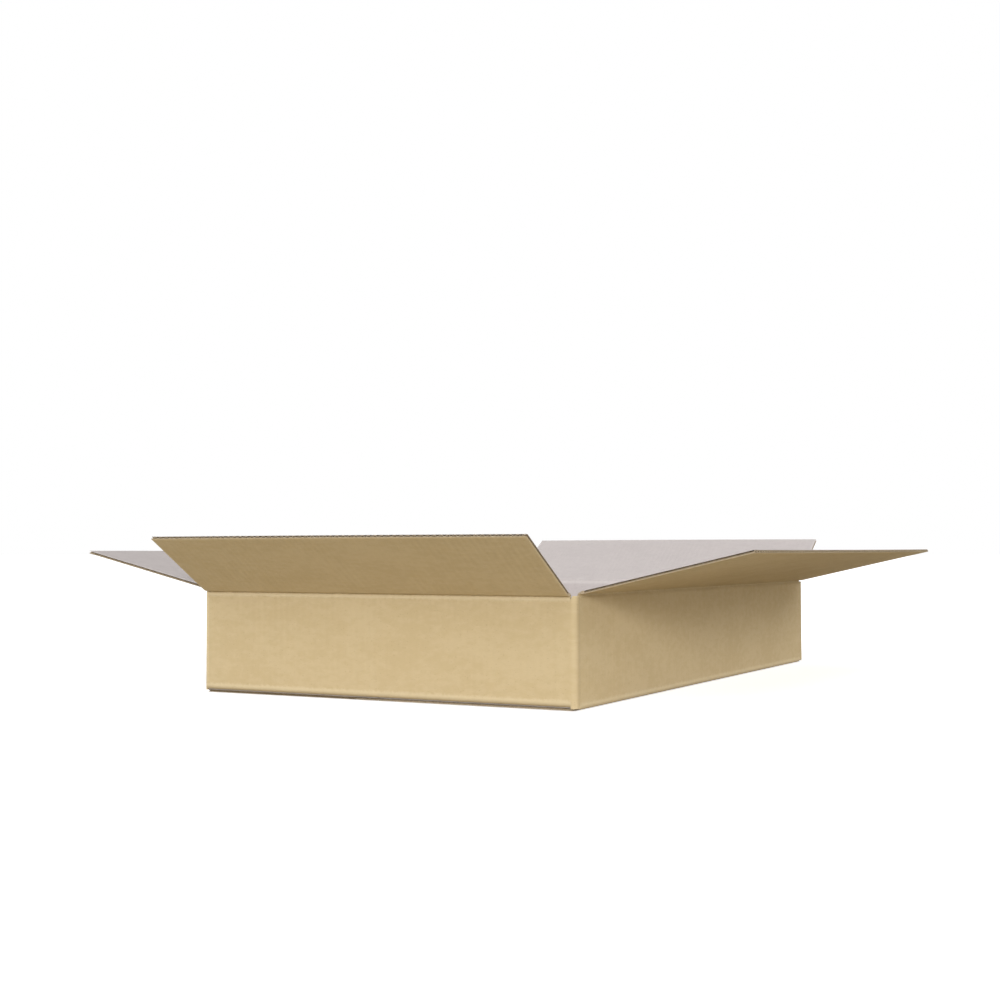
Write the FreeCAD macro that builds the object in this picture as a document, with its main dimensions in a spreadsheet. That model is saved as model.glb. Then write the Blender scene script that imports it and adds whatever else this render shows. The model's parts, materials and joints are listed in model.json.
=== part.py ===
import FreeCAD, Part
import math
import os
import Sketcher

# Shallow corrugated carton, open at the top, with four fold-out flaps.
# X runs across the carton, Y along it, Z up. The origin is the middle of the floor's underside.

SIZES = [
    ("cartonWidth", 400, "outer size across, X"),
    ("cartonLength", 650, "outer size along, Y"),
    ("sideCrease", 99.8, "height of the crease line of the left and right flaps"),
    ("board", 3, "thickness of the corrugated board"),
    ("foldInner", 1.5, "inner radius of a full fold"),
    ("cornerLeg", 0.5, "straight run past a corner fold, up to the cut slot"),
    ("layGap", 0.3, "gap between flaps folded one on the other"),
    ("slotClear", 0.5, "gap under a closed end flap at the corners"),
    ("cornerLift", 2, "height of the raw lower end of a corner fold"),
    ("crushRun", 5.2, "width of crushed board on each side of a crease"),
    ("neck", 0.4, "board thickness where a crease is pressed flat"),
    ("bead", 0.3, "radius of the rolled root of a flap"),
    ("creaseGap", 0.35, "gap between a flap's root and its wall"),
    ("endFlapReach", 97, "front and back flap, crease to free edge"),
    ("sideFlapReach", 160.5, "left and right flap, crease to free edge"),
    ("frontOpen", 57.4, "lean of the front flap from upright, degrees"),
    ("backOpen", 57.4, "lean of the back flap from upright, degrees"),
    ("leftOpen", 77.1, "lean of the left flap from upright, degrees"),
    ("rightOpen", 77.1, "lean of the right flap from upright, degrees"),
    ("floorEndReach", 100, "length of the inner floor flaps"),
    ("floorSeam", 1, "gap between the outer floor flaps"),
    ("tabWidth", 35, "width of the glue tab"),
    ("tabTrim", 10, "distance of the glue tab from the ends of its corner"),
    ("tabTaper", 6, "slope of the ends of the glue tab"),
    ("liner", 0.35, "thickness of each flat facing"),
    ("medium", 0.4, "thickness of the wavy sheet"),
    ("flutePitch", 6.5, "length of one wave"),
]

doc = FreeCAD.newDocument("carton")
sheet = doc.addObject("Spreadsheet::Sheet", "sizes")
for row, (alias, value, note) in enumerate(SIZES, 1):
    sheet.set(f"A{row}", alias)
    sheet.set(f"B{row}", str(value))
    sheet.set(f"C{row}", note)
    sheet.setAlias(f"B{row}", alias)
doc.recompute()

# Lengths that several pieces share, as expressions of the sheet.
board = "sizes.board"
halfWidth = "sizes.cartonWidth / 2"
halfLength = "sizes.cartonLength / 2"
foldInner = "sizes.foldInner"
foldOuter = f"({foldInner} + {board})"
endSlot = f"({foldOuter} + sizes.cornerLeg)"
sideSlot = f"({endSlot} + {board})"
sideCrease = "sizes.sideCrease"
endCrease = f"({sideCrease} - {board} - sizes.layGap)"
cornerTop = f"({endCrease} - {board} / 2 - sizes.slotClear)"
endSpan = f"(sizes.cartonWidth - 2 * {endSlot})"
sideSpan = f"(sizes.cartonLength - 2 * {sideSlot})"
tipDrop = "(sizes.bead + sizes.creaseGap)"


def originPart(body, role):
    return next(part for part in body.Origin.OriginFeatures if part.Role == role)


def arcMiddle(start, end, radius, turn):
    """Middle point of the shorter arc from start to end, which turns left where turn is 1."""
    chord = end - start
    sagitta = radius - math.sqrt(max(radius ** 2 - chord.Length ** 2 / 4, 0))
    outward = FreeCAD.Vector(chord.y, -chord.x, 0).normalize()
    return (start + end) * 0.5 + outward * sagitta * turn


def drawSketch(body, name, plane, outlines, lift="0"):
    """Sketch of closed outlines. A corner is (x, y), or (x, y, radius, turn) where an arc leaves it."""
    sketch = body.newObject("Sketcher::SketchObject", name)
    sketch.AttachmentSupport = [(originPart(body, plane), "")]
    sketch.MapMode = "FlatFace"
    sketch.setExpression("AttachmentOffset.Base.z", lift)
    for corners in outlines:
        drawOutline(sketch, corners)
    return sketch


def drawOutline(sketch, corners):
    """Lines and arcs whose corners and radii follow the sheet."""
    points = [FreeCAD.Vector(sketch.evalExpression(x), sketch.evalExpression(y), 0) for x, y, *arc in corners]
    first = sketch.GeometryCount
    for start, end, corner in zip(points, points[1:] + points[:1], corners):
        if len(corner) == 2:
            sketch.addGeometry(Part.LineSegment(start, end))
        else:
            middle = arcMiddle(start, end, sketch.evalExpression(corner[2]), corner[3])
            sketch.addGeometry(Part.Arc(start, middle, end))
    rules = []
    for index, (x, y, *arc) in enumerate(corners):
        edge, before = first + index, first + (index - 1) % len(corners)
        here = 1 if sketch.getPoint(edge, 1).isEqual(points[index], 1e-6) else 2
        there = 1 if sketch.getPoint(before, 1).isEqual(points[index], 1e-6) else 2
        rules.append((Sketcher.Constraint("Coincident", before, there, edge, here), None))
        rules.append((Sketcher.Constraint("DistanceX", -1, 1, edge, here, points[index].x), x))
        rules.append((Sketcher.Constraint("DistanceY", -1, 1, edge, here, points[index].y), y))
        if arc:
            rules.append((Sketcher.Constraint("Radius", edge, sketch.evalExpression(arc[0])), arc[0]))
    for number, (rule, expression) in zip(sketch.addConstraint([rule for rule, _ in rules]), rules):
        if expression:
            sketch.setExpression(f"Constraints[{number}]", expression)


def pad(body, name, sketch, length, symmetric=False):
    feature = body.newObject("PartDesign::Pad", name)
    feature.Profile = sketch
    feature.SideType = "Symmetric" if symmetric else "One side"
    feature.setExpression("Length", length)
    return feature


def mirror(body, name, original, plane):
    feature = body.newObject("PartDesign::Mirrored", name)
    feature.Originals = [original]
    feature.MirrorPlane = (originPart(body, plane), "")
    body.Tip = feature
    return feature


def panelOutline(wall, floorLevel, crease, floorReach):
    """Section of one wall from its floor flap up to its crease, with the wall at minus wall.

    The floor flap runs inwards at floorLevel, turns up through a round fold, and the top
    of the wall is crushed on both faces down to a thin lip under the crease line.
    """
    inner = f"({wall} - {board})"
    middle = f"({wall} - {board} / 2)"
    foldIn = f"({wall} - {foldOuter})"
    floorEnd = f"({wall} - {floorReach})"
    foldTop = f"{floorLevel} + {foldOuter}"
    crushStart = f"{crease} - sizes.crushRun"
    lip = f"{crease} - {tipDrop}"
    return [
        (f"-{floorEnd}", f"{floorLevel} + {board}"),
        (f"-{foldIn}", f"{floorLevel} + {board}", foldInner, -1),
        (f"-{inner}", foldTop),
        (f"-{inner}", crushStart),
        (f"-{middle} + sizes.neck / 2", lip),
        (f"-{middle} - sizes.neck / 2", lip),
        (f"-({wall})", crushStart),
        (f"-({wall})", foldTop, foldOuter, 1),
        (f"-{foldIn}", floorLevel),
        (f"-{floorEnd}", floorLevel),
    ]


def cornerOutline(sideX, sideY):
    """Plan of the fold between two walls, with a short leg along each."""
    def corner(inX, inY, *arc):
        turned = [arc[0], arc[1] * sideX * sideY] if arc else []
        return (f"{sideX} * ({halfWidth} - {inX})", f"{sideY} * ({halfLength} - {inY})", *turned)

    return [
        corner("0", sideSlot),
        corner("0", foldOuter, foldOuter, 1),
        corner(foldOuter, "0"),
        corner(endSlot, "0"),
        corner(endSlot, board),
        corner(foldOuter, board, foldInner, -1),
        corner(board, foldOuter),
        corner(board, sideSlot),
    ]


def jointOutline():
    """Plan of the fold from the left wall to the glue tab, which lies behind the front wall."""
    def corner(inX, inY, *arc):
        return (f"-({halfWidth} - {inX})", f"-({halfLength} - {inY})", *arc)

    foldEdge = f"({board} + {foldOuter})"
    return [
        corner("0", sideSlot),
        corner("0", foldEdge, foldOuter, 1),
        corner(foldOuter, board),
        corner(foldOuter, f"2 * {board}", foldInner, -1),
        corner(board, foldEdge),
        corner(board, sideSlot),
    ]


def makeCartonBody():
    """Four walls with their folded and glued floor flaps, three corner folds and the glued joint."""
    body = doc.addObject("PartDesign::Body", "CartonBody")
    body.Label = "carton_body"

    endSection = panelOutline(halfLength, board, endCrease, "sizes.floorEndReach")
    frontWall = pad(body, "FrontWall", drawSketch(body, "EndSection", "YZ_Plane", [endSection]), endSpan, True)
    mirror(body, "BackWall", frontWall, "XZ_Plane")

    sideReach = f"({halfWidth} - sizes.floorSeam / 2)"
    sideSection = panelOutline(halfWidth, "0", sideCrease, sideReach)
    leftWall = pad(body, "LeftWall", drawSketch(body, "SideSection", "XZ_Plane", [sideSection]), sideSpan, True)
    mirror(body, "RightWall", leftWall, "YZ_Plane")

    cornerRun = f"{cornerTop} - sizes.cornerLift"
    folds = [cornerOutline(1, -1), cornerOutline(1, 1), cornerOutline(-1, 1), jointOutline()]
    pad(body, "CornerFolds", drawSketch(body, "CornerPlan", "XY_Plane", folds, "sizes.cornerLift"), cornerRun)

    root = f"-({halfWidth} - {foldOuter})"
    tip = f"{root} + sizes.tabWidth"
    low = "sizes.cornerLift + sizes.tabTrim"
    high = f"{cornerTop} - sizes.tabTrim"
    tab = [(root, low), (tip, f"{low} + sizes.tabTaper"), (tip, f"{high} - sizes.tabTaper"), (root, high)]
    behind = f"{halfLength} - 2 * {board}"
    pad(body, "GlueTab", drawSketch(body, "TabOutline", "XZ_Plane", [tab], behind), board)
    return body


def fluteOutlines(span):
    """One wave of the fluted sheet: the hollow on each side of it, at the left edge of the board."""
    wave = f"({span} / (2 * round({span} / (2 * sizes.flutePitch))))"
    hollow = f"({board} - 2 * sizes.liner)"
    slope = f"(sqrt({hollow}^2 + ({wave} / 2)^2))"
    inset = f"(sizes.medium / 2 * {slope} / {hollow})"
    crest = f"({hollow} / 2 - sizes.medium * {slope} / {wave})"
    outlines = []
    for middle, face in ((f"-{span} / 2", 1), (f"-{span} / 2 + {wave} / 2", -1)):
        outlines.append([
            (f"{middle} - {wave} / 2 + {inset}", f"{face} * {hollow} / 2"),
            (f"{middle} + {wave} / 2 - {inset}", f"{face} * {hollow} / 2"),
            (middle, f"{-face} * {crest}"),
        ])
    return outlines


def makeFlap(name, label, span, reach, crease, away, heading, lean):
    """A flap drawn upright over its crease line, then leaned outwards.

    Its root is a small bead on the crease line. The board swells from there to its full
    thickness, and its flutes run from the crushed root to the open free edge.
    """
    body = doc.addObject("PartDesign::Body", name)
    body.Label = label
    neck = "sizes.neck / 2"
    beadTop = f"sqrt(sizes.bead^2 - ({neck})^2)"
    section = [
        (f"-{neck}", beadTop, "sizes.bead", 1),
        ("0", "-sizes.bead", "sizes.bead", 1),
        (neck, beadTop),
        (neck, tipDrop),
        (f"{board} / 2", "sizes.crushRun"),
        (f"{board} / 2", reach),
        (f"-{board} / 2", reach),
        (f"-{board} / 2", "sizes.crushRun"),
        (f"-{neck}", tipDrop),
    ]
    pad(body, name + "Board", drawSketch(body, name + "Section", "YZ_Plane", [section]), span, True)

    hollows = body.newObject("PartDesign::Pocket", name + "Hollows")
    hollows.Profile = drawSketch(body, name + "Wave", "XY_Plane", fluteOutlines(span), "sizes.crushRun")
    hollows.Reversed = True
    hollows.setExpression("Length", f"{reach} - sizes.crushRun")

    flutes = body.newObject("PartDesign::LinearPattern", name + "Flutes")
    flutes.Originals = [hollows]
    flutes.Direction = (originPart(body, "X_Axis"), "")
    flutes.setExpression("Length", span)
    flutes.setExpression("Occurrences", f"2 * round({span} / (2 * sizes.flutePitch)) + 1")
    body.Tip = flutes

    turnX, turnY = {0: ("0", f"-({away})"), 90: (away, "0"), 180: ("0", away), -90: (f"-({away})", "0")}[heading]
    body.setExpression("Placement.Base.x", turnX)
    body.setExpression("Placement.Base.y", turnY)
    body.setExpression("Placement.Base.z", crease)
    body.setExpression("Placement.Rotation.Yaw", str(heading))
    body.setExpression("Placement.Rotation.Roll", lean)
    return body


endAway = f"{halfLength} - {board} / 2"
sideAway = f"{halfWidth} - {board} / 2"
pieces = [
    makeCartonBody(),
    makeFlap("FrontFlap", "front_flap", endSpan, "sizes.endFlapReach", endCrease, endAway, 0, "sizes.frontOpen"),
    makeFlap("BackFlap", "back_flap", endSpan, "sizes.endFlapReach", endCrease, endAway, 180, "sizes.backOpen"),
    makeFlap("LeftFlap", "left_flap", sideSpan, "sizes.sideFlapReach", sideCrease, sideAway, -90, "sizes.leftOpen"),
    makeFlap("RightFlap", "right_flap", sideSpan, "sizes.sideFlapReach", sideCrease, sideAway, 90, "sizes.rightOpen"),
]
doc.recompute()

for item in doc.Objects:
    if "Invalid" in item.State or "Error" in item.State:
        raise RuntimeError(f"{item.Name} did not build: {item.State}")
for piece in pieces:
    if piece.Shape.isNull() or not piece.Shape.isValid() or len(piece.Shape.Solids) != 1:
        raise RuntimeError(f"{piece.Label} is not one valid solid")

os.makedirs("parts", exist_ok=True)
for piece in pieces:
    piece.Shape.exportStep(f"parts/{piece.Label}.step")
    box = piece.Shape.BoundBox
    print(f"{piece.Label}: {piece.Shape.Volume / 1000:.1f} cm3, "
          f"{box.XLength:.1f} x {box.YLength:.1f} x {box.ZLength:.1f} mm, lowest {box.ZMin:.2f}")
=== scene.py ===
import json
import math
import bpy
import numpy as np
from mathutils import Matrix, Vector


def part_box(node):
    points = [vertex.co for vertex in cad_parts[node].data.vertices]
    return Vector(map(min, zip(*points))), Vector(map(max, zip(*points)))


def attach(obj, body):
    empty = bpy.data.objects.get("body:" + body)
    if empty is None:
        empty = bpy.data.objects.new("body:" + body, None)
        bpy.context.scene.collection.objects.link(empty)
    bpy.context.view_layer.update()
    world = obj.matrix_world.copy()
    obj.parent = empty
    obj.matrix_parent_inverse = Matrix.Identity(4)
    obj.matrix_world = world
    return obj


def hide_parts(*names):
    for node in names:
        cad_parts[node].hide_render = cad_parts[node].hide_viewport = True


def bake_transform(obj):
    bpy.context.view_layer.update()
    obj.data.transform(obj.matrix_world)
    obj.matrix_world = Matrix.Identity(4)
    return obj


# Shallow corrugated carton, open at the top. Lengths in metres, X across, Y along, Z up.

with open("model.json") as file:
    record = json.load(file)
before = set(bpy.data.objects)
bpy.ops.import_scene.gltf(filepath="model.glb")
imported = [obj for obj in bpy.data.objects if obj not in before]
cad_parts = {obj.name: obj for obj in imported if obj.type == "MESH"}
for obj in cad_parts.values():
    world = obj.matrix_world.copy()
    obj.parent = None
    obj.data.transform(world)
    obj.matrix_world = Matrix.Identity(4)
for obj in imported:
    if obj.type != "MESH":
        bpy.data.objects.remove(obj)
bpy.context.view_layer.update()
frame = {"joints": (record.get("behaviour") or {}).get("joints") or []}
joints = {joint["name"]: joint for joint in frame["joints"]}
print("frame read")

# Finishes

paperLook = {
    "kraftLow": (0.565, 0.447, 0.257),    # darker clouds of the outer facing
    "kraftHigh": (0.600, 0.481, 0.287),   # lighter clouds
    "kraftRubbed": (0.71, 0.60, 0.40),    # lighter along folds and cut edges as wear, and a painted highlight on the crease beads
    "kraftFleck": (0.24, 0.15, 0.075),
    "kraftFleckShare": 0.3,
    "kraftRidgeDepth": 0.00012,           # of the flutes that show through
    "greyLow": (0.503, 0.460, 0.449),     # inner facing, recycled grey
    "greyHigh": (0.525, 0.481, 0.468),
    # inner facing's lighter band: wear along folds and cuts, and a painted highlight along the crease beads
    "greyRubbed": (0.60, 0.56, 0.54),
    "greyFleck": (0.22, 0.19, 0.18),
    "greyFleckShare": 0.4,
    "greyRidgeDepth": 0.0001,
    "fibreDark": 0.55,                    # gaps between fibres, as a share of the darker clouds
    "fibreShare": 0.09,
    "ridgeShare": 0.05,
    # share of the lighter colour of wear and painted highlight
    "rubShare": 0.6,
    "rubReach": 0.0035,                   # width of the lighter band of wear and painted highlight
    "flutePitch": 0.0065,
    "roughness": (0.84, 0.74),            # in darker and in lighter clouds
    "shine": 0.32,
    "fineDepth": 0.00005,                 # of fibres and of the band of wear and painted highlight
    "rawLow": (0.36, 0.285, 0.19),        # wavy sheet and cut edges
    "rawHigh": (0.50, 0.41, 0.29),
    "rawScale": 420,
    "rawRoughness": (0.95, 0.85),
    "rawShine": 0.2,
    "rawDepth": 0.0001,
}

grainLook = {
    "wide": ((16, 34, 1), 4, 0.55, 0.3),       # scale, detail, roughness and distortion of each noise
    "close": ((90, 170, 1), 3, 0.6),
    "cloudRange": (0.36, 0.64),                # of the two together
    "strands": ((260, 2400, 1), 4, 0.65, 0.5),
    "patches": ((12, 9, 1), 2),                # where the flutes show more or less
    "patchRange": (0.3, 0.7, 0.35, 1.0),
    "cells": (420, 900, 1),                    # one fleck at most in each
    "fleckPick": 0.965,                        # about one cell in thirty has one
    "fleckRange": (0.34, 0.08),
    "rubScale": 240,
    "rubBreak": (0.25, 0.75, -0.1, 0.4),       # how far the noise moves the end of the band of wear and painted highlight
    "rubRange": (1.1, 0.1),
    "middle": (0.3, 0.7),                      # usual range of a noise
}


def addNode(tree, kind, inputs=None, **settings):
    made = tree.nodes.new(kind)
    for key, value in settings.items():
        setattr(made, key, value)
    for key, value in (inputs or {}).items():
        if isinstance(value, bpy.types.NodeSocket):
            tree.links.new(value, made.inputs[key])
        else:
            made.inputs[key].default_value = value
    return made


def calc(tree, operation, *values):
    return addNode(tree, "ShaderNodeMath", dict(enumerate(values)), operation=operation).outputs[0]


def remap(tree, value, low, high, start=0.0, end=1.0):
    made = addNode(tree, "ShaderNodeMapRange",
                   {"Value": value, "From Min": low, "From Max": high, "To Min": start, "To Max": end},
                   interpolation_type="SMOOTHSTEP")
    return made.outputs["Result"]


def blendColour(tree, share, first, second):
    pair = [(*value, 1) if isinstance(value, tuple) else value for value in (first, second)]
    return addNode(tree, "ShaderNodeMix", {0: share, 6: pair[0], 7: pair[1]}, data_type="RGBA").outputs[2]


def stretched(tree, vector, scale):
    return addNode(tree, "ShaderNodeMapping", {"Vector": vector, "Scale": scale}).outputs[0]


# Noise on the flat sheet of board.
def sheetNoise(tree, vector, scale, detail, roughness=0.5, distortion=0.0):
    made = addNode(tree, "ShaderNodeTexNoise",
                   {"Vector": stretched(tree, vector, scale), "Scale": 1, "Detail": detail,
                    "Roughness": roughness, "Distortion": distortion}, noise_dimensions="2D")
    return made.outputs[0]


def makeGroup(name, inputs, outputs):
    group = bpy.data.node_groups.new(name, "ShaderNodeTree")
    for label, kind, value in inputs:
        socket = group.interface.new_socket(label, in_out="INPUT", socket_type=kind)
        if value is not None:
            socket.default_value = value
    for label, kind in outputs:
        group.interface.new_socket(label, in_out="OUTPUT", socket_type=kind)
    return group, group.nodes.new("NodeGroupInput").outputs, group.nodes.new("NodeGroupOutput").inputs


# Paper: clouds some centimetres wide, fibres laid along the machine direction, and small flecks.
def makePaperGrain():
    group, given, result = makeGroup("paperGrain", [("Vector", "NodeSocketVector", None)],
                                     [("Clouds", "NodeSocketFloat"), ("Fibres", "NodeSocketFloat"),
                                      ("Flecks", "NodeSocketFloat")])
    where = given["Vector"]
    wide = sheetNoise(group, where, *grainLook["wide"])
    close = sheetNoise(group, where, *grainLook["close"])
    mixed = calc(group, "ADD", calc(group, "MULTIPLY", wide, 0.5), calc(group, "MULTIPLY", close, 0.5))
    group.links.new(remap(group, mixed, *grainLook["cloudRange"]), result["Clouds"])
    strands = sheetNoise(group, where, *grainLook["strands"])
    group.links.new(remap(group, strands, *grainLook["middle"]), result["Fibres"])
    cells = addNode(group, "ShaderNodeTexVoronoi",
                    {"Vector": stretched(group, where, grainLook["cells"]), "Scale": 1, "Randomness": 1},
                    voronoi_dimensions="2D")
    chosen = addNode(group, "ShaderNodeSeparateColor", {"Color": cells.outputs["Color"]})
    few = calc(group, "GREATER_THAN", chosen.outputs[0], grainLook["fleckPick"])
    dots = remap(group, cells.outputs["Distance"], *grainLook["fleckRange"])
    group.links.new(calc(group, "MULTIPLY", few, dots), result["Flecks"])
    return group


# Flutes showing through: a cosine of the place across the board, and a slow change of its strength.
def makeFluteShow():
    group, given, result = makeGroup("fluteShow", [("Vector", "NodeSocketVector", None),
                                                   ("Pitch", "NodeSocketFloat", paperLook["flutePitch"])],
                                     [("Ridge", "NodeSocketFloat")])
    across = addNode(group, "ShaderNodeSeparateXYZ", {"Vector": given["Vector"]}).outputs["X"]
    phase = calc(group, "MULTIPLY", calc(group, "DIVIDE", across, given["Pitch"]), 2 * math.pi)
    patches = sheetNoise(group, given["Vector"], *grainLook["patches"])
    strength = remap(group, patches, *grainLook["patchRange"])
    wave = calc(group, "MULTIPLY", calc(group, "COSINE", phase), 0.5)
    group.links.new(calc(group, "ADD", calc(group, "MULTIPLY", wave, strength), 0.5), result["Ridge"])
    return group


# Band of wear along folds and cuts, and of painted highlight along the crease beads: strongest on the fold, cut
# or bead, broken up by noise, gone at the given reach.
def makeWearAndHighlightBand():
    group, given, result = makeGroup("edgeRub", [("Vector", "NodeSocketVector", None),
                                                 ("Edge", "NodeSocketFloat", 1.0),
                                                 ("Reach", "NodeSocketFloat", paperLook["rubReach"])],
                                     [("Mask", "NodeSocketFloat")])
    ragged = addNode(group, "ShaderNodeTexNoise",
                     {"Vector": given["Vector"], "Scale": grainLook["rubScale"], "Detail": 4, "Roughness": 0.7},
                     noise_dimensions="2D")
    share = calc(group, "DIVIDE", given["Edge"], given["Reach"])
    reached = calc(group, "ADD", share, remap(group, ragged.outputs[0], *grainLook["rubBreak"]))
    group.links.new(remap(group, reached, *grainLook["rubRange"]), result["Mask"])
    return group


groups = {"grain": makePaperGrain(), "flutes": makeFluteShow(), "rub": makeWearAndHighlightBand()}


def newMaterial(name):
    material = bpy.data.materials.new(name)
    material.use_nodes = True
    return material, material.node_tree, material.node_tree.nodes["Principled BSDF"]


def placeGroup(tree, name, inputs):
    return addNode(tree, "ShaderNodeGroup", inputs, node_tree=groups[name]).outputs


# One facing of the board, kraft or grey.
def makeFacing(paper):
    material, tree, shader = newMaterial(paper + "Facing")
    low, high, wearAndHighlightColour, fleck, fleckShare, ridgeDepth = [
        paperLook[paper + part] for part in ("Low", "High", "Rubbed", "Fleck", "FleckShare", "RidgeDepth")]
    where = addNode(tree, "ShaderNodeUVMap", uv_map="board").outputs["UV"]
    edge = addNode(tree, "ShaderNodeAttribute", attribute_name="edge").outputs["Fac"]
    grain = placeGroup(tree, "grain", {"Vector": where})
    ridge = placeGroup(tree, "flutes", {"Vector": where, "Pitch": paperLook["flutePitch"]})["Ridge"]
    # Lighter band along folds and cuts as wear, and along the crease beads as a painted highlight.
    wearAndHighlightMask = placeGroup(tree, "rub", {"Vector": where, "Edge": edge, "Reach": paperLook["rubReach"]})["Mask"]
    gaps = calc(tree, "SUBTRACT", 1.0, grain["Fibres"])
    dark = tuple(paperLook["fibreDark"] * part for part in low)
    tone = blendColour(tree, grain["Clouds"], low, high)
    for cover, share, colour in ((gaps, paperLook["fibreShare"], dark), (ridge, paperLook["ridgeShare"], high),
                                 (grain["Flecks"], fleckShare, fleck), (wearAndHighlightMask, paperLook["rubShare"], wearAndHighlightColour)):
        tone = blendColour(tree, calc(tree, "MULTIPLY", cover, share), tone, colour)
    tree.links.new(tone, shader.inputs["Base Color"])
    tree.links.new(remap(tree, grain["Clouds"], 0.0, 1.0, *paperLook["roughness"]), shader.inputs["Roughness"])
    shader.inputs["Specular IOR Level"].default_value = paperLook["shine"]
    shallow = addNode(tree, "ShaderNodeBump", {"Height": ridge, "Strength": 1.0, "Distance": ridgeDepth})
    fine = addNode(tree, "ShaderNodeBump", {"Height": calc(tree, "ADD", grain["Fibres"], wearAndHighlightMask), "Strength": 0.6,
                                            "Distance": paperLook["fineDepth"], "Normal": shallow.outputs[0]})
    tree.links.new(fine.outputs[0], shader.inputs["Normal"])
    return material


def makeRaw():
    material, tree, shader = newMaterial("rawFluting")
    where = addNode(tree, "ShaderNodeTexCoord").outputs["Object"]
    soft = addNode(tree, "ShaderNodeTexNoise",
                   {"Vector": where, "Scale": paperLook["rawScale"], "Detail": 4, "Roughness": 0.7}).outputs[0]
    tone = blendColour(tree, remap(tree, soft, *grainLook["middle"]), paperLook["rawLow"], paperLook["rawHigh"])
    tree.links.new(tone, shader.inputs["Base Color"])
    roughness = remap(tree, soft, *grainLook["middle"], *paperLook["rawRoughness"])
    tree.links.new(roughness, shader.inputs["Roughness"])
    shader.inputs["Specular IOR Level"].default_value = paperLook["rawShine"]
    bump = addNode(tree, "ShaderNodeBump", {"Height": soft, "Strength": 0.7, "Distance": paperLook["rawDepth"]})
    tree.links.new(bump.outputs[0], shader.inputs["Normal"])
    return material


finishes = [makeFacing("kraft"), makeFacing("grey"), makeRaw()]
outsideFace, insideFace, rawFace = range(3)
print("finishes made")

# Board

board = {
    "thickness": 0.003,        # over both facings
    "facing": 0.00036,         # each flat sheet
    "fluting": 0.0004,         # the wavy sheet
    "wave": 0.0065,            # length of one wave
    "foldInner": 0.0015,       # inner radius of a full fold
    "slotPast": 0.0005,        # straight run past a corner fold, up to the cut slot
    "cornerLift": 0.002,       # height of the raw lower end of a corner fold
    "cornerGap": 0.0005,       # its upper end lies this far below the end flaps' board
    "cornerRise": 0.0032,      # and rises this much more in its middle
    "cornerRiseRun": 0.012,    # the rise starts this far below the upper end
    "cornerRound": 0.0015,     # and is rounded off over this width at each side
    "floorReach": 0.1,         # inner floor flaps, fold to free edge
    "floorSeam": 0.0003,       # gap between the outer floor flaps
    "floorPast": 0.0048,       # outer floor flaps run this far past the slots
    "fluteDeep": 0.026,        # how far in the wavy sheet of a floor flap is made
    "fluteInset": 0.0012,      # the wavy sheet ends this far behind a cut along the flutes
}
thick = board["thickness"]
foldOuter = board["foldInner"] + thick
foldMiddle = board["foldInner"] + thick / 2
foldRun = foldMiddle * math.pi / 2      # length of a full fold along the board's middle

creaseLook = {
    "reach": 0.0055,           # the crease strip runs this far to each side of its line
    "rows": 45,
    "crushRun": 0.0052,        # where the board is full again
    "thin": 0.0012,            # thickness where it is pressed
    "bendRadius": 0.0016,      # of the middle line
    "blendReach": 0.0043,      # the part that bends with a flap
    "beads": ((-0.0021, 0.0014, 0.00085), (-0.0007, 0.0008, 0.0003)),  # each one's place, width and height
    "sideBead": -0.45,         # on the long sides they are grooves, this share as deep
    "endLift": 0.0012,         # the end flaps bend this far above their line
    "endCrush": 0.12,          # share of the thickness lost at a cut
    "endCrushRun": 0.0015,     # over this width beside it
    "endCrest": 0.0017,        # painted highlight strongest this far below an end crease
    "sideCrest": 0.0025,       # and this far below a side crease
    "sideRubLess": 0.002,      # which gets less of the painted highlight
}

wallLook = {
    "crown": 0.0003,           # the walls stand this far proud of their corners
    "cornerRun": 0.015,        # over this width beside a corner
    "fade": 0.018,             # and flatten again this far from a crease or the floor
}

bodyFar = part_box("carton_body")[1]
halfWidth, halfLength = bodyFar.x, bodyFar.y


# One side of the carton: the wall, its floor flap and its top flap are one strip of board.
# Away is how far out its face lies, half is half its width, and slot is what a cut slot takes of that.
def readSide(name, out, across, away, half, slot, floorLevel, floorEnd, bow, lift=0.0, floorPast=0.0):
    joint = joints[name + "_fold"]
    near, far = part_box(name + "_flap")
    lean = math.radians(-joint["range_deg"][0] - 90)
    tip = max(out[0] * near.x + out[1] * near.y, out[0] * far.x + out[1] * far.y)
    side = {"name": name, "out": np.array([*out, 0.0]), "across": np.array([*across, 0.0]), "away": away,
            "span": half - slot, "crease": joint["pos_m"][2], "lean": lean, "floorLevel": floorLevel,
            "bow": bow, "lift": lift, "floorPast": floorPast}
    side["reach"] = (tip - (away - thick / 2) - thick / 2 * math.cos(lean)) / math.sin(lean)
    side["foldStart"] = -(side["crease"] - floorLevel - foldOuter)
    side["foldEnd"] = side["foldStart"] - foldRun
    side["floorEnd"] = side["foldEnd"] - (away - foldOuter - floorEnd)
    side["cornerRun"] = [half - foldOuter - side["span"]] * 2
    return side


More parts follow.
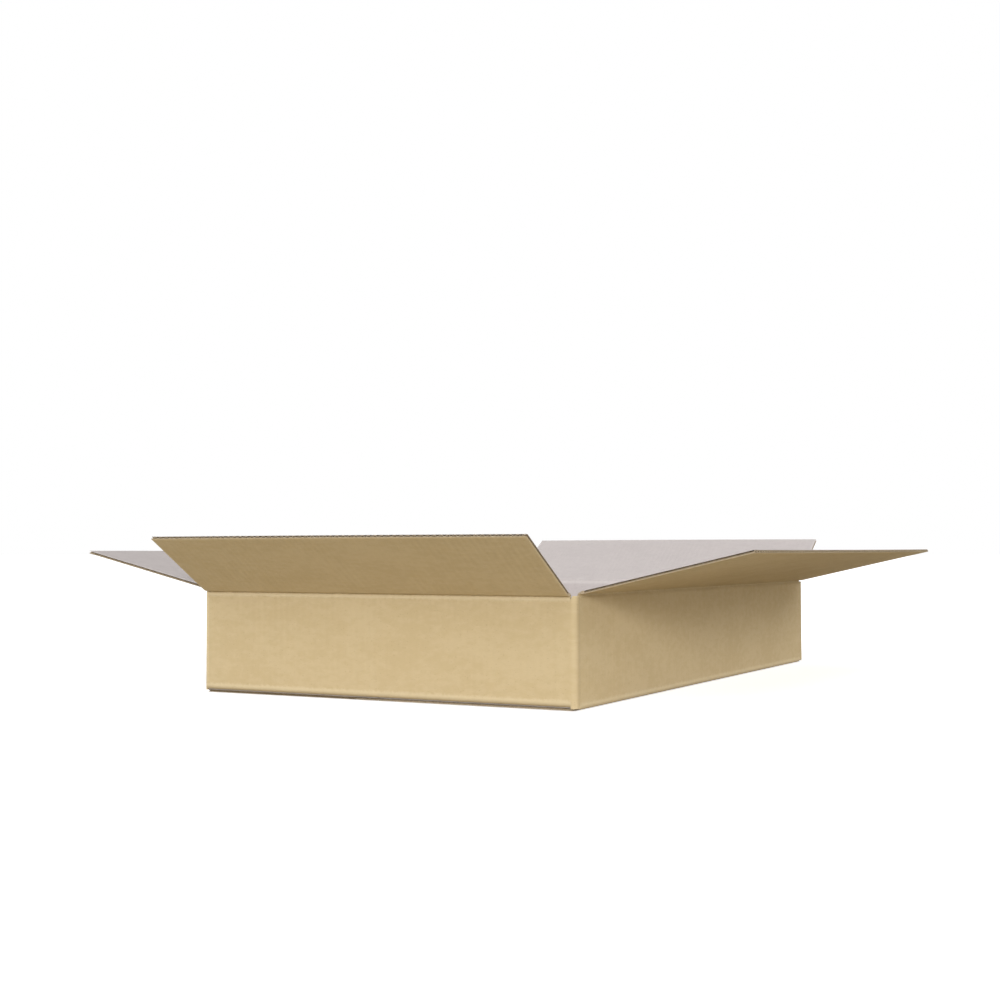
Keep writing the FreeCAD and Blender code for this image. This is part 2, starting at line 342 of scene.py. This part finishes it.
endSlot = foldOuter + board["slotPast"]
sideSlot = endSlot + thick
seam = board["floorSeam"] / 2
innerEnd = halfLength - board["floorReach"]
endLift, floorPast = creaseLook["endLift"], board["floorPast"]
sides = [
    readSide("front", (0, -1), (1, 0), halfLength, halfWidth, endSlot, thick, innerEnd, -0.0002, lift=endLift),
    readSide("right", (1, 0), (0, 1), halfWidth, halfLength, sideSlot, 0.0, seam, 0.0003, floorPast=floorPast),
    readSide("back", (0, 1), (-1, 0), halfLength, halfWidth, endSlot, thick, innerEnd, -0.0003, lift=endLift),
    readSide("left", (-1, 0), (0, -1), halfWidth, halfLength, sideSlot, 0.0, seam, 0.0004, floorPast=floorPast),
]
cornerTop = sides[0]["crease"] - thick / 2 - board["cornerGap"]
shift = 0.0
for before, side in zip([None] + sides, sides):
    if before:
        shift += before["span"] + before["cornerRun"][1] + foldRun + side["cornerRun"][0] + side["span"]
    side["shift"] = shift
sides[0]["cornerRun"][0] = 0.0     # the front wall's left edge is cut, behind it lies the glue tab


def smooth(share):
    share = np.clip(share, 0, 1)
    return share * share * (3 - 2 * share)


upAxis = np.array([0, 0, 1.0])
notCut = 0.02      # distance to a cut, where there is none


# Middle of the board at v above the crease line (below it where v is negative) and u across.
# Straight floor flap, quarter circle, straight wall, circle of the crease, straight flap.
def sideSurface(side):
    def sample(v, u):
        v, u = np.broadcast_arrays(v[:, None], u[None, :])
        radius, lean, lift = creaseLook["bendRadius"], side["lean"], side["lift"]
        run = radius * math.tan(lean / 2)
        turn = lean * np.clip((v - lift + run) / (2 * run), 0, 1)
        drop = np.clip((side["foldStart"] - v) / foldMiddle, 0, math.pi / 2)
        wall, axis = side["away"] - thick / 2, side["crease"]
        zones = [v > lift + run, v > lift - run, v > side["foldStart"], v > side["foldEnd"]]
        # The lifted bend comes back to the flap's own line by the end of the strip.
        back = lift * (1 - smooth((v - lift - run) / (creaseLook["reach"] - lift - run)))
        along = v - back * (1 - math.cos(lean))
        flapOut = wall + along * math.sin(lean) - back * math.sin(lean) * math.cos(lean)
        flapUp = axis + along * math.cos(lean) + back * math.sin(lean) ** 2
        a = np.select(zones, [flapOut, wall + radius * (1 - np.cos(turn)), wall,
                              side["away"] - foldOuter + foldMiddle * np.cos(drop)],
                      side["away"] - foldOuter + v - side["foldEnd"])
        z = np.select(zones, [flapUp, axis + lift - run + radius * np.sin(turn), axis + v,
                              side["floorLevel"] + foldOuter - foldMiddle * np.sin(drop)],
                      side["floorLevel"] + thick / 2)
        outA, outZ = np.cos(turn) * np.cos(drop), -np.sin(turn) - np.sin(drop)
        reach = creaseLook["reach"]
        bow = side["bow"] * (1 - (u / side["span"]) ** 2) * smooth((v - reach) / (side["reach"] - reach))
        bow = bow * (v > reach)
        crown = wallLook["crown"] * smooth((side["span"] - np.abs(u)) / wallLook["cornerRun"])
        fade = wallLook["fade"]
        bow = bow + crown * smooth((-v - reach) / fade) * smooth((v - side["foldStart"]) / fade)
        a, z = a + outA * bow, z + outZ * bow
        wide = u * np.where(v < side["foldEnd"] - 1e-6, 1 + side["floorPast"] / side["span"], 1)
        middle = a[..., None] * side["out"] + wide[..., None] * side["across"] + z[..., None] * upAxis
        normal = outA[..., None] * side["out"] + outZ[..., None] * upAxis
        depth = creaseLook["thin"] + (thick - creaseLook["thin"]) * smooth(np.abs(v) / creaseLook["crushRun"])
        flat = np.stack([side["shift"] + u, axis + v], -1)
        # A wall runs on into its corner folds, so its sides get no lighter band of wear there.
        uncut = notCut * ((v < 0) & (v > side["foldEnd"]))
        toSides = np.minimum(side["span"] + u + uncut * (side["cornerRun"][0] > 0), side["span"] - u + uncut)
        # Painted highlight band below each crease, strongest at the crest place; weaker below the long sides'
        # creases.
        crest = np.where(v < lift, np.abs(v + creaseLook["endCrest"]), v + creaseLook["sideCrest"])
        crest = crest + creaseLook["sideRubLess"] * (lift == 0)
        toFloorFold = np.maximum(v - side["foldStart"], side["foldEnd"] - v).clip(0)
        toFold = np.minimum(crest, np.minimum(toFloorFold, 1))
        toEnd = np.minimum(side["reach"] - v, v - side["floorEnd"])
        crushed = 1 - smooth(np.minimum(toEnd, toSides) / creaseLook["endCrushRun"])
        depth = depth * (1 - creaseLook["endCrush"] * crushed)
        return middle, normal, depth, flat, np.minimum(np.minimum(toSides, toFold), toEnd)
    return sample


# Fold between two walls: straight, quarter circle, straight, at height v.
# The glue tab's fold lies one board further in.
def cornerSurface(first, second, inset=0.0, past=None):
    startRun = first["cornerRun"][1] - inset
    endRun = second["cornerRun"][0] if past is None else past
    corner = first["across"] * (second["away"] - foldOuter - inset) + first["out"] * (first["away"] - foldOuter)

    def sample(v, u):
        v, u = np.broadcast_arrays(v[:, None], u[None, :])
        toSlot = np.minimum(u, startRun + foldRun + endRun - u) - 0.0001
        rise = board["cornerRise"] * smooth(toSlot / board["cornerRound"])
        v = v + rise * smooth((v - cornerTop + board["cornerRiseRun"]) / board["cornerRiseRun"])
        turn = np.clip((u - startRun) / foldMiddle, 0, math.pi / 2)
        normal = np.cos(turn)[..., None] * first["out"] + np.sin(turn)[..., None] * first["across"]
        middle = corner + normal * foldMiddle + np.minimum(u - startRun, 0)[..., None] * first["across"]
        middle = middle - np.maximum(u - startRun - foldRun, 0)[..., None] * first["out"] + v[..., None] * upAxis
        flat = np.stack([first["shift"] + first["span"] + u, v], -1)
        toEnd = np.minimum(cornerTop + rise - v, v - board["cornerLift"]).clip(0)
        return middle, normal, np.full(v.shape, thick), flat, toEnd + board["cornerRound"]
    columns = [[0.0], np.linspace(startRun, startRun + foldRun, 13)[:-1],
               startRun + foldRun + np.linspace(0, endRun, 3)]
    return sample, np.concatenate(columns)


# Collects closed sheets, each a grid on two faces with rims between them, into one mesh.
class SheetMesh:
    def __init__(self):
        self.points, self.quads, self.flats, self.slots, self.edges = [], [], [], [], []
        self.count = 0

    def addSlab(self, top, bottom, flat, edge, topSlot, bottomSlot, rimSlot):
        rows, columns = top.shape[:2]
        upper = np.arange(rows * columns).reshape(rows, columns) + self.count
        lower = upper + rows * columns
        self.points += [top.reshape(-1, 3), bottom.reshape(-1, 3)]
        self.flats += [flat.reshape(-1, 2)] * 2
        self.edges += [edge.ravel()] * 2
        self.count += 2 * rows * columns
        for faces, slot in (((upper[:-1, :-1], upper[:-1, 1:], upper[1:, 1:], upper[1:, :-1]), topSlot),
                            ((lower[:-1, :-1], lower[1:, :-1], lower[1:, 1:], lower[:-1, 1:]), bottomSlot),
                            ((upper[:-1, 0], upper[1:, 0], lower[1:, 0], lower[:-1, 0]), rimSlot),
                            ((upper[:-1, -1], lower[:-1, -1], lower[1:, -1], upper[1:, -1]), rimSlot),
                            ((upper[0, :-1], lower[0, :-1], lower[0, 1:], upper[0, 1:]), rimSlot),
                            ((upper[-1, :-1], upper[-1, 1:], lower[-1, 1:], lower[-1, :-1]), rimSlot)):
            made = np.stack(faces, axis=-1).reshape(-1, 4)
            self.quads.append(made)
            self.slots.append(np.full(len(made), slot, np.int32))

    # The outer and inner facing, each inside its face by its own thickness.
    def addFacings(self, sample, v, u):
        middle, normal, depth, flat, edge = sample(v, u)
        half = depth[..., None] / 2
        skin = np.minimum(board["facing"], half)
        self.addSlab(middle + normal * half, middle + normal * (half - skin), flat, edge,
                     outsideFace, rawFace, rawFace)
        self.addSlab(middle - normal * (half - skin), middle - normal * half, flat, edge,
                     rawFace, insideFace, insideFace)

    # The wavy sheet between them: a cosine across the board.
    def addFluting(self, sample, v, u):
        middle, normal, depth, flat, edge = sample(v, u)
        swing = np.maximum(depth / 2 - board["facing"] - board["fluting"] / 2, 0)
        wave = (swing * np.cos(2 * math.pi * (u[None, :] - u[0]) / board["wave"]))[..., None]
        skin = board["fluting"] / 2
        self.addSlab(middle + normal * (wave + skin), middle + normal * (wave - skin), flat, edge,
                     rawFace, rawFace, rawFace)

    def build(self, name):
        mesh = bpy.data.meshes.new(name)
        mesh.from_pydata(np.concatenate(self.points), [], np.concatenate(self.quads).tolist())
        for finish in finishes:
            mesh.materials.append(finish)
        mesh.polygons.foreach_set("material_index", np.concatenate(self.slots))
        mesh.polygons.foreach_set("use_smooth", np.ones(len(mesh.polygons), bool))
        corners = np.empty(len(mesh.loops), np.int32)
        mesh.loops.foreach_get("vertex_index", corners)
        layer = mesh.uv_layers.new(name="board")
        layer.uv.foreach_set("vector", np.concatenate(self.flats)[corners].astype(np.float32).ravel())
        edge = mesh.attributes.new("edge", "FLOAT", "POINT")
        edge.data.foreach_set("value", np.concatenate(self.edges).astype(np.float32))
        mesh.set_sharp_from_angle(angle=math.radians(36))
        mesh.update()
        piece = bpy.data.objects.new(name, mesh)
        bpy.context.scene.collection.objects.link(piece)
        return piece


gridStep = 0.02
margins = np.array([0.0, 0.0004, 0.001, 0.002, 0.0035, 0.006, 0.012])


# Stations from start to end, about a grid step apart, and close together at the ends.
def stations(start, end, closeStart=True):
    inner = np.linspace(start, end, max(2, int(round((end - start) / gridStep)) + 1))
    parts = [inner, end - margins] + [start + margins] * closeStart
    made = np.unique(np.round(np.concatenate(parts), 7))
    return made[(made >= start - 1e-9) & (made <= end + 1e-9)]


# Stations for the wavy sheet, ten to each wave, from start onwards.
def waveStations(start, waves):
    return start + np.arange(int(waves * 10) + 1) * board["wave"] / 10


# The same across a whole side, from one cut to the other.
def wholeWaves(side):
    inset = board["fluteInset"]
    return waveStations(inset - side["span"], 2 * (side["span"] - inset) / board["wave"])


# The body: four sides with their floor flaps, three corner folds, and the fold and tab of the glued corner.
# Deep inside the floor flaps and walls the wavy sheet is left out, except along the cuts at their sides.
def makeShell():
    shell = SheetMesh()
    for side in sides:
        sample = sideSurface(side)
        v = np.unique(np.concatenate([
            stations(side["floorEnd"], side["foldEnd"]),
            np.linspace(side["foldEnd"], side["foldStart"], 11),
            stations(side["foldStart"], -creaseLook["reach"])]).round(7))
        shell.addFacings(sample, v, stations(-side["span"], side["span"]))
        shell.addFluting(sample, side["floorEnd"] + np.array([0, 0.3, 1]) * board["fluteDeep"], wholeWaves(side))
        deep = side["floorEnd"] + board["fluteDeep"]
        along = np.append(deep, v[v > deep + 0.0001])
        strip = board["fluteInset"] + waveStations(0, 1.5)
        shell.addFluting(sample, along, strip - side["span"])
        shell.addFluting(sample, along, side["span"] - strip[::-1])
    corners = [(*cornerSurface(first, second), 24) for first, second in zip(sides[:3], sides[1:])]
    corners.append((*cornerSurface(sides[3], sides[0], inset=thick, past=0.0), 20))
    v = stations(board["cornerLift"], cornerTop)
    for sample, u, columns in corners:
        shell.addFacings(sample, v, u)
        shell.addFluting(sample, v[[0, -1]], np.linspace(u[0], u[-1], columns))
    addTab(shell)
    return shell.build("carton_shell")


glueTab = {
    "width": 0.035,
    "trim": 0.010,             # shorter than the corner fold by this at each end
    "taper": 0.006,            # and by this more at its tip
    "paperPlace": -2.2,        # its place in the paper's pattern
}


# Tab behind the front wall, its ends sloping in towards its tip.
def addTab(shell):
    low = board["cornerLift"] + glueTab["trim"]
    high = cornerTop - glueTab["trim"]

    def sample(v, u):
        v, u = np.broadcast_arrays(v[:, None], u[None, :])
        cut = glueTab["taper"] * u / glueTab["width"]
        z = low + cut + v * (high - low - 2 * cut)
        behindWall = -halfLength + 1.5 * thick
        middle = np.stack([u - halfWidth + foldOuter, np.full(u.shape, behindWall), z], -1)
        normal = np.broadcast_to(np.array([0, -1.0, 0]), middle.shape)
        flat = np.stack([u + glueTab["paperPlace"], z], -1)
        edge = np.minimum(np.minimum(v, 1 - v) * (high - low), glueTab["width"] - u)
        return middle, normal, np.full(u.shape, thick), flat, edge
    shell.addFacings(sample, np.linspace(0, 1, 9), stations(0.0, glueTab["width"]))
    shell.addFluting(sample, np.linspace(0, 1, 3), np.linspace(0, glueTab["width"], 54))


carton = makeShell()
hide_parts("carton_body")
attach(carton, "carton")
print("shell made:", len(carton.data.polygons), "faces")


# Top flap from past its crease to the free edge, with the wavy sheet along its whole length.
def makeFlap(side):
    flap, sample = SheetMesh(), sideSurface(side)
    v = stations(creaseLook["reach"], side["reach"], closeStart=False)
    flap.addFacings(sample, v, stations(-side["span"], side["span"]))
    flap.addFluting(sample, np.linspace(creaseLook["reach"], side["reach"], 7), wholeWaves(side))
    piece = flap.build(side["name"] + "_flap_board")
    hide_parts(side["name"] + "_flap")
    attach(piece, side["name"] + "_lid")
    return piece


# Pressed strip on the crease line, thinnest on it, with small beads or grooves below it on the outside.
def makeCrease(side):
    strip, sample = SheetMesh(), sideSurface(side)
    v = np.linspace(-creaseLook["reach"], creaseLook["reach"], creaseLook["rows"])
    middle, normal, depth, flat, edge = sample(v, stations(-side["span"], side["span"]))
    bead = sum(height * np.exp(-((v - place) / width) ** 2) for place, width, height in creaseLook["beads"])
    bead = bead * (1 if side["lift"] else creaseLook["sideBead"])
    outer = middle + normal * (depth / 2 + bead[:, None])[..., None]
    strip.addSlab(outer, middle - normal * depth[..., None] / 2, flat, edge, outsideFace, insideFace, rawFace)
    piece = strip.build(side["name"] + "_crease")
    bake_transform(piece)
    return piece


for side in sides:
    made = makeFlap(side), makeCrease(side)
    faces = [len(piece.data.polygons) for piece in made]
    print(side["name"], "flap and crease made:", faces, "faces, reach", round(side["reach"], 5))

# Camera, light and floor

view = {
    "place": (0.7481, -1.4872, 0.13705),
    "yaw": 28.102,
    "pitch": 1.887,
    "roll": -0.099,
    "lens": 54.432,
    "sensor": 36,
    "farthest": 50,
}
lens = bpy.data.cameras.new("camera")
lens.lens, lens.sensor_width, lens.clip_end = view["lens"], view["sensor"], view["farthest"]
camera = bpy.data.objects.new("camera", lens)
bpy.context.scene.collection.objects.link(camera)
camera.location = view["place"]
camera.rotation_mode = "XYZ"
camera.rotation_euler = (math.radians(90 + view["pitch"]), math.radians(-view["roll"]), math.radians(view["yaw"]))
bpy.context.scene.camera = camera

studio = {
    "sky": 0.22,                                        # even light from all round
    "backdrop": 1.0,                                    # what the camera sees behind the carton
    "sideLamp": ((0.434, -0.863, 0.258), 1.55, 11.0),   # direction to the lamp, strength, softness in degrees
    "frontLamp": ((-0.1, -1.0, 0.85), 1.35, 46.0),
    "rightLamp": ((0.95, 0.3, 0.38), 1.2, 40.0),
    "topLamp": ((0.0, -0.15, 1.0), 0.5, 90.0),
    "floorHalf": 30,                                    # half the floor's width
    "floorLevel": -0.0005,
    "floorBounce": (0.56, 0.505, 0.415),                # colour that the floor throws up
    "floorSeen": (0.9, 0.9, 0.9),                       # colour that the camera sees
    "floorGlow": 0.6,                                   # added to that, so that it is white away from shadows
}


def makeSun(name, settings):
    direction, strength, softness = settings
    lamp = bpy.data.lights.new(name, "SUN")
    lamp.energy, lamp.angle = strength, math.radians(softness)
    holder = bpy.data.objects.new(name, lamp)
    bpy.context.scene.collection.objects.link(holder)
    holder.rotation_mode = "QUATERNION"
    holder.rotation_quaternion = Vector(direction).to_track_quat("Z", "Y")


def makeWorld():
    world = bpy.data.worlds.new("studio")
    bpy.context.scene.world = world
    world.use_nodes = True
    tree = world.node_tree
    seen = addNode(tree, "ShaderNodeLightPath").outputs["Is Camera Ray"]
    strength = addNode(tree, "ShaderNodeMapRange",
                       {"Value": seen, "To Min": studio["sky"], "To Max": studio["backdrop"]})
    back = tree.nodes["Background"]
    back.inputs["Color"].default_value = (1, 1, 1, 1)
    tree.links.new(strength.outputs["Result"], back.inputs["Strength"])


def makeFloor():
    mesh = bpy.data.meshes.new("floor")
    half, level = studio["floorHalf"], studio["floorLevel"]
    corners = [(-half, -half, level), (half, -half, level), (half, half, level), (-half, half, level)]
    mesh.from_pydata(corners, [], [(0, 1, 2, 3)])
    floor = bpy.data.objects.new("floor", mesh)
    bpy.context.scene.collection.objects.link(floor)
    material, tree, shader = newMaterial("paleFloor")
    seen = addNode(tree, "ShaderNodeLightPath").outputs["Is Camera Ray"]
    tone = blendColour(tree, seen, studio["floorBounce"], studio["floorSeen"])
    tree.links.new(tone, shader.inputs["Base Color"])
    shader.inputs["Roughness"].default_value = 0.9
    shader.inputs["Specular IOR Level"].default_value = 0.1
    shader.inputs["Emission Color"].default_value = (1, 1, 1, 1)
    tree.links.new(calc(tree, "MULTIPLY", seen, studio["floorGlow"]), shader.inputs["Emission Strength"])
    mesh.materials.append(material)


makeWorld()
for name in ("sideLamp", "frontLamp", "rightLamp", "topLamp"):
    makeSun(name, studio[name])
makeFloor()
bpy.context.scene.view_settings.view_transform = "Standard"
print("studio made")
